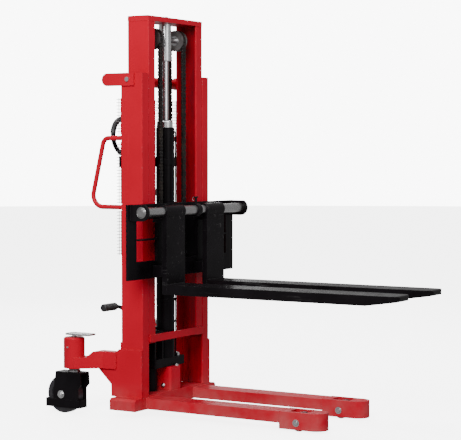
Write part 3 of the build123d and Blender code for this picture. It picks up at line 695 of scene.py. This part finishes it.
def add_mast_welds():
    """Beads on the posts, handles, ears, legs, arms and the inner mast's beams."""
    beads = Piece("chassis_welds")
    side_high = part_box("side_reinforcements")[1]
    beam_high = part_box("base_crossbeam")[1]
    leg_low, leg_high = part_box("leg_left")
    cross_low, cross_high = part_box("mast_cross_member")
    tie_low, tie_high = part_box("mast_top_tie")
    handle_low, handle_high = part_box("push_handle_left")
    tube_r = (handle_high.x - handle_low.x) / 2
    handle_x = (handle_low.x + handle_high.x) / 2
    block_y = mast_front - 0.712
    leg_top = 0.086
    arm_low, arm_high = 0.217, 0.297
    for side in SIDES.values():
        plate_x = side * side_high.x
        beads.weld([(side * (web_x + 0.001), mast_front + 0.003, side_high.z + 0.0008),
                    (side * (web_x + 0.001), mast_rear - 0.002, side_high.z + 0.0008)], WELD)
        beads.weld([(plate_x, mast_front + 0.003, 0.0888),
                    (plate_x, mast_front + 0.135, 0.0888)], WELD)
        beads.weld([(plate_x - side * 0.001, mast_front - 0.0004, 0.091),
                    (plate_x - side * 0.001, mast_front - 0.0004, side_high.z - 0.004)], 0.0016)
        for x in (leg_low.x, leg_high.x):
            beads.weld([(side * x, mast_front - 0.0008, 0.037),
                        (side * x, mast_front - 0.0008, leg_top)], WELD)
            beads.weld([(side * x, block_y + 0.0004, 0.038), (side * x, block_y + 0.0004, leg_top)],
                       0.0022)
        beads.weld([(side * leg_low.x, mast_front - 0.0008, leg_top + 0.0005),
                    (side * leg_high.x, mast_front - 0.0008, leg_top + 0.0005)], WELD)
        beads.weld([(side * leg_low.x, block_y + 0.0006, leg_top + 0.0008),
                    (side * leg_high.x, block_y + 0.0006, leg_top + 0.0008)], 0.0022)
        beads.weld([(side * 0.232, mast_front + 0.002, 0.0888),
                    (side * 0.232, mast_front + 0.128, 0.0888)], 0.0024)
        for root in (handle_low.z + tube_r, handle_high.z - tube_r):
            beads.weld(ring_path((side * handle_x, mast_rear + 0.0006, root), Y, tube_r + 0.0008),
                       0.0024, closed=True)
        ear_mid_y, ear_mid_z = tie_high.y - 0.030, (tie_low.z + tie_high.z) / 2
        beads.weld(ring_path((side * (web_x - 0.0004), ear_mid_y, ear_mid_z), X, 0.0254, 34),
                   0.0024, closed=True)
        for z in (cross_low.z - 0.0006, cross_high.z + 0.0006):
            beads.weld([(side * (web_x - 0.051), mast_rear + 0.0006, z),
                        (side * (web_x - 0.003), mast_rear + 0.0006, z)], 0.0026)
        beads.weld([(side * 0.2985, mast_front + 0.1456, arm_low + 0.003),
                    (side * 0.2985, mast_front + 0.1456, arm_high - 0.003)], 0.0030)
        # the arm's top edge runs into the kingpin housing along part of its circle
        start = radians(-150 if side > 0 else -30)
        turn = radians(96) * side
        bow = [Vector((side * 0.350 + 0.0503 * cos(start + turn * k / 20),
                       mast_front + 0.348 + 0.0503 * sin(start + turn * k / 20), 0.2704))
               for k in range(21)]
        beads.weld(bow, 0.0030)
    seam = (mast_rear + 0.0064, beam_high.z + 0.0006)
    beads.weld([(-0.230, *seam), (0.230, *seam)], WELD)
    beads.done("red", "chassis")

    lift = Piece("inner_mast_welds")
    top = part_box("inner_top_beam")[0].z
    bar_low, bar_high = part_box("inner_bottom_bar")
    inner_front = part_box("inner_mast_left")[0].y
    for side in SIDES.values():
        near, far = side * (inner_x - 0.051), side * (inner_x - 0.003)
        lift.weld([(near, inner_front - 0.0002, top), (far, inner_front - 0.0002, top)], 0.0015)
        lift.weld([(side * inner_x, inner_front + 0.003, top),
                   (side * inner_x, inner_front + 0.115, top)], 0.0016)
        lift.weld([(near, inner_front - 0.0006, bar_high.z + 0.0004),
                   (far - side * 0.004, inner_front - 0.0006, bar_high.z + 0.0004)], 0.0024)
        lift.weld([(near, inner_front - 0.0006, bar_low.z - 0.0004),
                   (far - side * 0.004, inner_front - 0.0006, bar_low.z - 0.0004)], 0.0024)
    lift.done("red", "inner_mast")


def add_carriage_welds():
    """Beads where the nose plates, window ribs and roller plates meet the carriage frame."""
    beads = Piece("carriage_welds")
    frame_low, frame_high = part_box("carriage_frame")
    nose_low, nose_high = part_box("carriage_nose_plates")
    front = frame_high.y - 0.012
    plate_in, plate_out = 0.160, 0.172
    for side in SIDES.values():
        for x in (nose_high.x - 0.012, nose_high.x):
            beads.weld([(side * x, front - 0.0006, nose_low.z + 0.003),
                        (side * x, front - 0.0006, frame_high.z - 0.003)], 0.0026)
        for x in (plate_in, plate_out):
            for low, high in ((frame_low.z + 0.008, 0.70), (0.76, 0.84), (0.90, frame_high.z - 0.014)):
                beads.weld([(side * x, frame_high.y + 0.0006, low),
                            (side * x, frame_high.y + 0.0006, high)], WELD)
        beads.weld([(side * 0.158, frame_high.y + 0.004, 0.7284),
                    (side * 0.158, mast_front + 0.002, 0.7284)], 0.0024)
    beads.done("black", "carriage")


def add_fork_welds():
    """Beads at each fork's heel, along its sleeve and round its rear pads."""
    shaft_low, shaft_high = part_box("fork_shaft")
    shaft = (shaft_low + shaft_high) / 2
    front, meet = shaft.y - 0.024, shaft.z - 0.018
    blade_top = 0.622
    for name in SIDES:
        low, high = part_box(f"fork_{name}")
        beads = Piece(f"fork_{name}_welds")
        beads.weld([(low.x + 0.002, front - 0.0006, blade_top + 0.0006),
                    (high.x - 0.002, front - 0.0006, blade_top + 0.0006)], 0.0034)
        beads.weld([(low.x + 0.002, front - 0.0002, meet),
                    (high.x - 0.002, front - 0.0002, meet)], 0.0024)
        for x in (low.x, high.x):
            beads.weld([(x, front + 0.001, 0.583), (x, front + 0.001, blade_top - 0.002)], 0.0014)
            beads.weld([(x, front + 0.0262, 0.662), (x, front + 0.0262, 0.706)], 0.0020)
        beads.done("black", f"{name}_fork")


# ------------------------------------------------------------------ fittings
CASTER_HALF = 0.036      # outer faces of a caster's side plates, from the wheel's middle
PUMP_TOP = 0.250         # the pump block's upper face
TILLER_LEAN = radians(4.3)
TILLER_LENGTH = 0.855    # from the rocker's socket to the hand loop
LOOP_R = 0.084           # the hand loop's two half rounds
LOOP_HALF_STRAIGHT = 0.024
KINGPIN_X = 0.350
KINGPIN_REAR = 0.348     # behind the mast's front


def add_cylinder_fittings():
    """The strap round the lift cylinder, its return pipe, the rod's wiper and the gland's slots."""
    cross_low, cross_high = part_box("mast_cross_member")
    strap = Piece("cylinder_strap")
    inner, outer = cylinder_r + 0.0003, cylinder_r + 0.0042
    low, high = cross_low.z + 0.010, cross_high.z - 0.010
    seat = cylinder.y + 0.0078
    rim = []
    for radius, sweep in ((outer, range(0, 25)), (inner, range(24, -1, -1))):
        rim += [Vector((radius * cos(pi * k / 24), cylinder.y - radius * sin(pi * k / 24)))
                for k in sweep]
    strap.skin([[Vector((p.x, p.y, z)) for p in rim] for z in (low, high)])
    for side in SIDES.values():
        ear = [(side * inner, cylinder.y - 0.0005), (side * inner, seat), (side * 0.0535, seat),
               (side * 0.0535, seat - 0.0042), (side * outer, seat - 0.0042),
               (side * outer, cylinder.y - 0.0005)]
        strap.skin([[Vector((x, y, z)) for x, y in ear] for z in (low, high)])
    strap.done("black", "chassis")

    bolts = Piece("strap_bolts")
    for side in SIDES.values():
        bolts.bolt((side * 0.0505, seat - 0.0042, (low + high) / 2), -Y, 0.0052)
    bolts.done("zinc", "chassis")

    pipe = Piece("return_pipe")
    top_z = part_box("lift_cylinder")[1].z - 0.020
    away = Vector((cos(radians(-28)), sin(radians(-28)), 0))
    foot = Vector((0, cylinder.y, 0)) + away * 0.056
    port = Vector((0, cylinder.y, top_z)) + away * 0.046
    line = rounded([port, foot + Z * top_z, foot + Z * PUMP_TOP], 0.012, 8)
    pipe.swept(line, 0.0036, sides=12)
    pipe.turned(Vector((0, cylinder.y, top_z)) + away * 0.0440, away,
                [(0, 0.0076), (0.0015, 0.0080), (0.0070, 0.0080), (0.0080, 0.0066)], sides=6)
    pipe.turned(foot + Z * PUMP_TOP, Z,
                [(0, 0.0086), (0.002, 0.0090), (0.011, 0.0090), (0.012, 0.0076)], sides=6)
    pipe.turned(foot + Z * (PUMP_TOP + 0.012), Z,
                [(0, 0.0062), (0.006, 0.0062), (0.007, 0.005)], sides=16)
    for z in (0.52, 0.86):
        pipe.ring((0, cylinder.y, z), Z, cylinder_r + 0.0002,
                  [(0, cylinder_r + 0.0011), (0.012, cylinder_r + 0.0011)], sides=48)
        pipe.ring(foot + Z * z, Z, 0.0034, [(0, 0.0048), (0.012, 0.0048)], sides=16)
        pipe.turned(foot - away * 0.0106 + Z * (z + 0.006), away,
                    [(0, 0.0032), (0.0062, 0.0032)], sides=10)
    pipe.done("black", "chassis")

    gland_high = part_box("cylinder_gland")[1]
    rod_r = 0.0171
    wiper = Piece("rod_wiper")
    wiper.ring((0, cylinder.y, gland_high.z), Z, rod_r + 0.0002,
               [(0, rod_r + 0.0085), (0.0018, rod_r + 0.0085), (0.0036, rod_r + 0.0030),
                (0.0050, rod_r + 0.0012)])
    wiper.done("rubber", "chassis")
    gland = Piece("gland_slots")
    slot_circle = gland_high.x - 0.010
    for k in range(6):
        a = radians(30 + 60 * k)
        base = Vector((slot_circle * cos(a), cylinder.y + slot_circle * sin(a), gland_high.z))
        gland.turned(base, Z, [(0, 0.0035), (0.0006, 0.0038), (0.0030, 0.0038), (0.0036, 0.0030)],
                     sides=14)
    gland.done("zinc", "chassis")


def add_pump_fittings():
    """Breather, drain plug, valve caps, tiller bolts and sleeve, and the rocker pin's clips."""
    tank_low, tank_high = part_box("oil_tank")
    block_low, block_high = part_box("pump_block")
    caps = Piece("pump_plugs")
    caps.bolt((0.022, tank_low.y + 0.0105, tank_high.z), Z, 0.0095)
    caps.bolt((tank_low.x, (tank_low.y + tank_high.y) / 2, tank_low.z + 0.022), -X, 0.010)
    for x, dy, size in ((0.088, 0.030, 0.013), (0.088, 0.068, 0.009), (-0.060, 0.020, 0.009)):
        caps.bolt((x, block_low.y + dy, PUMP_TOP), Z, size, height=0.8)
    for dx in (0.06, 0.20):
        caps.bolt((block_low.x + dx, block_high.y, 0.229), Y, 0.009)
    caps.done("zinc", "chassis")

    clamp = Piece("tiller_clamp_bolt")
    along = Vector((0, sin(TILLER_LEAN), cos(TILLER_LEAN)))
    root = Vector((-0.1, mast_front + 0.150, 0.372))
    for up in (0.070, 0.100):
        middle = root + along * up
        clamp.bolt(middle + X * 0.0186, X, 0.008)
        clamp.bolt(middle - X * 0.0186, -X, 0.008)
    clamp.ring(root + along * 0.119, along, 0.0132,
               [(0, 0.0200), (0.003, 0.0205), (0.0055, 0.0190)])
    clamp.done("zinc", "pump_rocker")

    tips = Piece("lever_tips")
    up = root + along * 0.840 + Vector((0, cos(TILLER_LEAN), -sin(TILLER_LEAN))) * 0.021
    for side in SIDES.values():
        tips.turned(up + X * (side * 0.019), X * side,
                    [(0, 0.0064), (0.001, 0.0074), (0.012, 0.0078), (0.0155, 0.0066),
                     (0.0165, 0.0040)])
    tips.done("rubber", "lowering_lever")

    sleeve = Piece("tiller_loop_sleeve")
    centre = root + along * (TILLER_LENGTH + LOOP_R)
    arc = []
    for k in range(50):
        a = radians(8 + 164 * k / 49)
        straight = LOOP_HALF_STRAIGHT if cos(a) > 0 else -LOOP_HALF_STRAIGHT
        arc.append(centre + X * (LOOP_R * cos(a) + straight) + along * (LOOP_R * sin(a)))
    sizes = [0.0128 + (0.0007 if k % 2 else 0.0) for k in range(50)]
    sizes[0] = sizes[-1] = 0.0114
    sleeve.swept(arc, sizes, sides=16)
    sleeve.done("rubber", "pump_rocker")

    pins = Piece("rocker_pin_clips")
    pin_low, pin_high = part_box("rocker_pin")
    pin_y, pin_z = (pin_low.y + pin_high.y) / 2, (pin_low.z + pin_high.z) / 2
    for x, way in ((-0.137, -1), (-0.063, 1)):
        pins.ring((x, pin_y, pin_z), X * way, 0.0078, [(0, 0.0125), (0.0013, 0.0125)], sides=24)
    pins.done("steel", "chassis")


def add_caster_fittings():
    """Axle nuts, wheel bearings, kingpin washers, grease nipples and pedal treads."""
    for name, side in SIDES.items():
        wheel_low, wheel_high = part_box(f"caster_wheel_{name}")
        wheel = (wheel_low + wheel_high) / 2
        nuts = Piece(f"{name}_caster_nuts")
        for way in (-1, 1):
            face = wheel + X * (way * (CASTER_HALF + 0.0002))
            nuts.ring(face, X * way, 0.0099, [(0, 0.0185), (0.0018, 0.0190), (0.0022, 0.0182)])
            nuts.turned(face + X * (way * 0.0022), X * way,
                        [(0, 0.0150), (0.0075, 0.0150), (0.0086, 0.0128)], sides=6)
            nuts.turned(face + X * (way * 0.0084), X * way,
                        [(0, 0.0088), (0.0028, 0.0088), (0.0036, 0.0074)], sides=20)
        nuts.done("zinc", f"{name}_caster")

        hub = Piece(f"{name}_wheel_bearings")
        for way in (-1, 1):
            face = wheel + X * (way * (wheel_high.x - wheel_low.x) / 2)
            hub.ring(face - X * (way * 0.0015), X * way, 0.0112,
                     [(0, 0.0205), (0.0018, 0.0205), (0.0021, 0.0170), (0.0021, 0.0150),
                      (0.0018, 0.0142)])
        hub.done("steel", f"{name}_caster_wheel")

        kingpin = Vector((side * KINGPIN_X, mast_front + KINGPIN_REAR, 0.0))
        seat = Piece(f"{name}_kingpin_bearing")
        seat.ring(kingpin + Z * 0.1982, Z, 0.0203,
                  [(0, 0.0290), (0.0008, 0.0300), (0.0070, 0.0300), (0.0078, 0.0285)])
        seat.ring(kingpin + Z * 0.2068, Z, 0.0203,
                  [(0, 0.0262), (0.0010, 0.0270), (0.0032, 0.0270)])
        seat.done("steel", f"{name}_caster")

        fixed = Piece(f"{name}_kingpin_nipple")
        nipple = kingpin + Vector((side * 0.0497, 0, 0.318))
        fixed.turned(nipple, X * side, [(0, 0.0046), (0.0030, 0.0046), (0.0034, 0.0040)], sides=6)
        fixed.turned(nipple + X * (side * 0.0030), X * side,
                     [(0, 0.0026), (0.0036, 0.0022), (0.0046, 0.0030), (0.0060, 0.0026),
                      (0.0068, 0.0014)], sides=16)
        fixed.done("zinc", "chassis")

        pedal_low, pedal_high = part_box(f"brake_pedal_{name}")
        middle = (pedal_low + pedal_high) / 2
        tread = Piece(f"{name}_pedal_tread")
        for k in range(9):
            y = pedal_low.y + 0.014 + (pedal_high.y - pedal_low.y - 0.028) * k / 8
            for way in (-1, 1):
                lean = 0.0045 * (1 if k % 2 else -1)
                tread.swept([(middle.x + way * 0.005, y - lean, pedal_high.z + 0.0001),
                             (middle.x + way * 0.026, y + lean, pedal_high.z + 0.0001)], 0.0014, sides=8)
        tread.done("zinc", f"{name}_brake_pedal")


def add_axle_ends():
    """Caps, washers and snap rings on the load rollers, the fork shaft and the chain axle."""
    caps = Piece("load_axle_clips")
    for name, side in SIDES.items():
        leg_low, leg_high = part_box(f"leg_{name}")
        roller_low, roller_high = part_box(f"load_roller_{name}")
        centre = (roller_low + roller_high) / 2
        for x, way in ((leg_low.x, -1), (leg_high.x, 1)):
            base = Vector((x, centre.y, centre.z))
            caps.ring(base, X * way, 0.0098, [(0, 0.0165), (0.0016, 0.0165)], sides=28)
            caps.turned(base + X * (way * 0.0026), X * way,
                        [(0, 0.0088), (0.0016, 0.0080), (0.0020, 0.0020)], sides=24)
        washers = Piece(f"{name}_load_roller_seals")
        for x, way in ((roller_low.x, -1), (roller_high.x, 1)):
            washers.ring(Vector((x, centre.y, centre.z)), X * way, 0.0104,
                         [(-0.0004, 0.0210), (0.0010, 0.0210), (0.0014, 0.0190)], sides=28)
        washers.done("steel", f"{name}_load_roller")
    caps.done("zinc", "chassis")

    shaft_low, shaft_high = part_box("fork_shaft")
    shaft = (shaft_low + shaft_high) / 2
    nose_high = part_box("carriage_nose_plates")[1]
    ends = Piece("fork_shaft_ends")
    for way in (-1, 1):
        tip = Vector((way * shaft_high.x, shaft.y, shaft.z))
        ends.ring(tip - X * (way * 0.0002), X * way, 0.0035,
                  [(0, 0.0180), (0.0012, 0.0172), (0.0012, 0.0060)], sides=36)
        ends.ring(Vector((way * nose_high.x, shaft.y, shaft.z)), X * way, 0.0226,
                  [(0, 0.0262), (0.0012, 0.0258), (0.0022, 0.0240)], sides=44)
    ends.done("steel", "carriage")

    axle_low, axle_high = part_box("chain_axle")
    axle = (axle_low + axle_high) / 2
    clips = Piece("chain_axle_clips")
    for way in (-1, 1):
        for x in (axle_high.x - 0.0048, 0.0790):
            clips.ring((way * x, axle.y, axle.z), X * way, 0.0124,
                       [(0, 0.0185), (0.0016, 0.0185)], sides=28)
    clips.done("steel", "inner_mast")

    wheels = Piece("chain_wheel_bearings")
    for side in SIDES.values():
        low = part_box("chain_wheel_left")[0].x
        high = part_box("chain_wheel_left")[1].x
        for x, way in ((low, -1), (high, 1)):
            base = (side * x, axle.y, axle.z)
            wheels.ring(base, X * (way * side), 0.0130,
                        [(0, 0.0230), (0.0010, 0.0230), (0.0013, 0.0190)], sides=30)
    wheels.done("steel", "chain_wheels")

    beam_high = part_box("inner_top_beam")[1]
    washer = Piece("crosshead_washer")
    washer.ring((0, cylinder.y, beam_high.z), Z, 0.0083,
                [(0, 0.0185), (0.0016, 0.0185), (0.0019, 0.0178)])
    washer.done("zinc", "inner_mast")

    collar_low, collar_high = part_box("fork_stop_collar")
    pull = Piece("collar_pull_ring")
    top = Vector(((collar_low.x + collar_high.x) / 2, shaft.y, collar_high.z - 0.012))
    pull.swept(ring_path(top + Y * 0.0095 + Z * 0.001, X, 0.0095, 24), 0.0012, sides=8, closed=True)
    pull.done("zinc", "carriage")


add_mast_welds()
add_carriage_welds()
add_fork_welds()
add_cylinder_fittings()
add_pump_fittings()
add_caster_fittings()
add_axle_ends()


# ------------------------------------------------------------------ stage, light and camera
SKY_STRENGTH = 0.45
FLOOR_GLOW = 5.0
BACKDROP_GLOW = 9.0
CENTRE = Vector((0.0, 0.0, 0.9))
LAMPS = {  # name: (place, size, watts)
    "key": ((-5.2, -1.2, 3.6), 2.6, 420),
    "front_fill": ((-1.5, -6.0, 2.6), 3.2, 90),
    "top": ((0.6, 0.4, 5.4), 3.0, 240),
    "rim": ((3.6, 3.4, 3.2), 2.2, 120),
}


def add_stage():
    """A plain pale floor, a paler backdrop far behind it, and a soft sky that lights both."""
    bpy.ops.mesh.primitive_plane_add(size=60)
    floor = bpy.context.object
    floor.name = "studio_floor"
    p = Paintbox("pale floor")
    p.bump((p.noise(3, 3), 0.02, 0.01), round_edges=0)
    p.finish((0.86, 0.86, 0.87, 1.0), 0.7, specular=0.05)
    p.shader.inputs["Emission Color"].default_value = (1.0, 1.0, 1.0, 1.0)
    p.shader.inputs["Emission Strength"].default_value = FLOOR_GLOW
    floor.data.materials.append(p.material)
    bpy.ops.mesh.primitive_uv_sphere_add(radius=29, segments=48, ring_count=24)
    backdrop = bpy.context.object
    backdrop.name = "studio_backdrop"
    p = Paintbox("white backdrop")
    p.finish((0.0, 0.0, 0.0, 1.0), 1.0, specular=0.0)
    p.shader.inputs["Emission Color"].default_value = (1.0, 1.0, 1.0, 1.0)
    p.shader.inputs["Emission Strength"].default_value = BACKDROP_GLOW
    backdrop.data.materials.append(p.material)
    for item in (floor, backdrop):
        item.visible_diffuse = False
        item.visible_glossy = False
        item.visible_shadow = False
    world = bpy.data.worlds.new("pale studio")
    world.use_nodes = True
    sky = world.node_tree.nodes["Background"]
    sky.inputs["Color"].default_value = (1.0, 1.0, 1.0, 1.0)
    sky.inputs["Strength"].default_value = SKY_STRENGTH
    bpy.context.scene.world = world


def add_lamps():
    """Large soft boxes, all aimed at the middle of the machine."""
    for name, (place, size, watts) in LAMPS.items():
        data = bpy.data.lights.new(name, "AREA")
        data.size = size
        data.energy = watts
        lamp = bpy.data.objects.new(name, data)
        lamp.location = place
        aim = CENTRE - Vector(place)
        lamp.rotation_euler = aim.to_track_quat("-Z", "Y").to_euler()
        bpy.context.collection.objects.link(lamp)


def add_camera():
    """A long lens from the machine's front right, at chest height."""
    data = bpy.data.cameras.new("product_view")
    data.sensor_width = 36.0
    data.lens = 123.43
    data.clip_end = 100.0
    camera = bpy.data.objects.new("product_view", data)
    camera.location = (-6.3083, -3.7685, 1.2354)
    camera.rotation_euler = (radians(90 - 2.468), 0.0, radians(-58.534))
    bpy.context.collection.objects.link(camera)
    bpy.context.scene.camera = camera


add_stage()
add_lamps()
add_camera()
